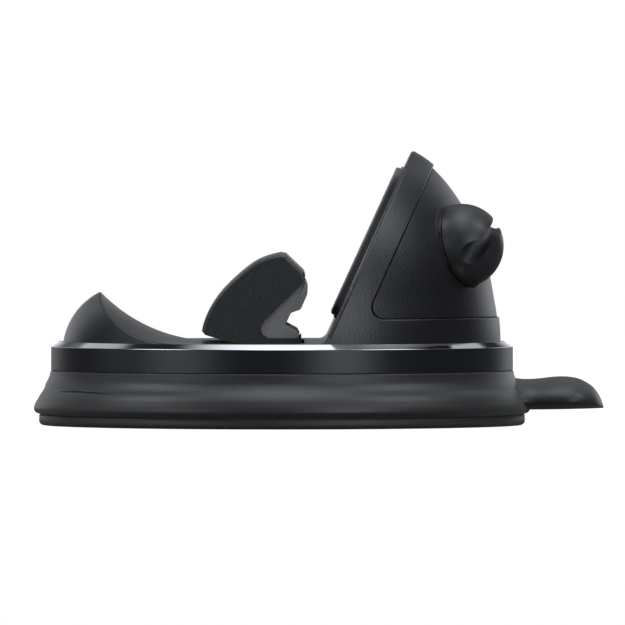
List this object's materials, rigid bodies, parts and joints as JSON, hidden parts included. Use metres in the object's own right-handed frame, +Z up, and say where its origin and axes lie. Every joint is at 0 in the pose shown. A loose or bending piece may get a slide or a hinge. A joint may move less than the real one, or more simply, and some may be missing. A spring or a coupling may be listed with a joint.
{
  "type": "car phone mount",
  "caption": "Dashboard phone mount: soft sticky round base with pull tab, turning table with leaning backrest tower and curled wing, sprung gripping jaw and turning cable clip",
  "frame": {"origin": "Centre of the sticky foot pad's flat underside, on the turntable's axis.", "axes": "+Z up along the turntable axis; +X from the jaw towards the tower and the pull tab; +Y to the left of someone looking along +X."},
  "size_m": [0.1212, 0.1056, 0.0582],
  "materials": {
    "gel_pad": "soft tacky elastomer, semi-matt",
    "silicone": "soft-touch silicone, satin",
    "inner_plastic": "plain moulded ABS, matt",
    "bezel_gloss": "satin band with a polished chamfer",
    "screw_steel": "zinc-plated steel",
    "white_acetal": "natural acetal, smooth",
    "spring_steel": "spring steel, oiled",
    "housing_plastic": "fine moulded grain, satin-matt",
    "cover_plastic": "fine moulded grain, satin-matt",
    "rest_frame": "moulded plastic, satin",
    "rest_rubber": "silicone, matt",
    "jaw_plastic": "fine spark-eroded grain, matt, polished edge bevel",
    "grip_rubber": "dark grey silicone, matt",
    "pin_steel": "ground steel",
    "clip_plastic": "smooth satin plastic"
  },
  "bodies": {
    "base": {"sticky_foot_pad": "gel_pad", "silicone_skirt": "silicone", "base_plate": "inner_plastic", "bezel_ring": "bezel_gloss", "base_screws": "screw_steel", "glide_ring": "white_acetal", "spring_washer": "spring_steel"},
    "turntable": {"turntable_plate": "inner_plastic", "upper_housing": "housing_plastic", "housing_screws": "screw_steel", "rear_cover": "cover_plastic", "cover_screws": "screw_steel", "hub_washer": "screw_steel", "hub_screw": "screw_steel", "backrest_plate": "rest_frame", "backrest_pad": "rest_rubber", "jaw_pin": "pin_steel", "jaw_springs": "spring_steel"},
    "jaw": {"jaw_body": "jaw_plastic", "jaw_rubber": "grip_rubber"},
    "clip": {"cable_clip": "clip_plastic", "clip_washer": "screw_steel", "clip_screw": "screw_steel"}
  },
  "joints": [
    {"name": "turntable_spin", "type": "hinge", "parent": "base", "child": "turntable", "pos_m": [0, 0, 0.012], "axis": [0, 0, 1], "continuous": true},
    {"name": "jaw_open", "type": "hinge", "parent": "turntable", "child": "jaw", "pos_m": [-0.0114, 0, 0.0142], "axis": [0, -1, 0], "range_deg": [0, 16], "stiffness_Nm_per_rad": 0.15, "springref_deg": -17.19, "deforming": ["jaw_springs"]},
    {"name": "clip_turn", "type": "hinge", "parent": "turntable", "child": "clip", "pos_m": [0.0381, -0.0184, 0.0383], "axis": [0.8759, -0.4269, 0.225], "continuous": true}
  ]
}
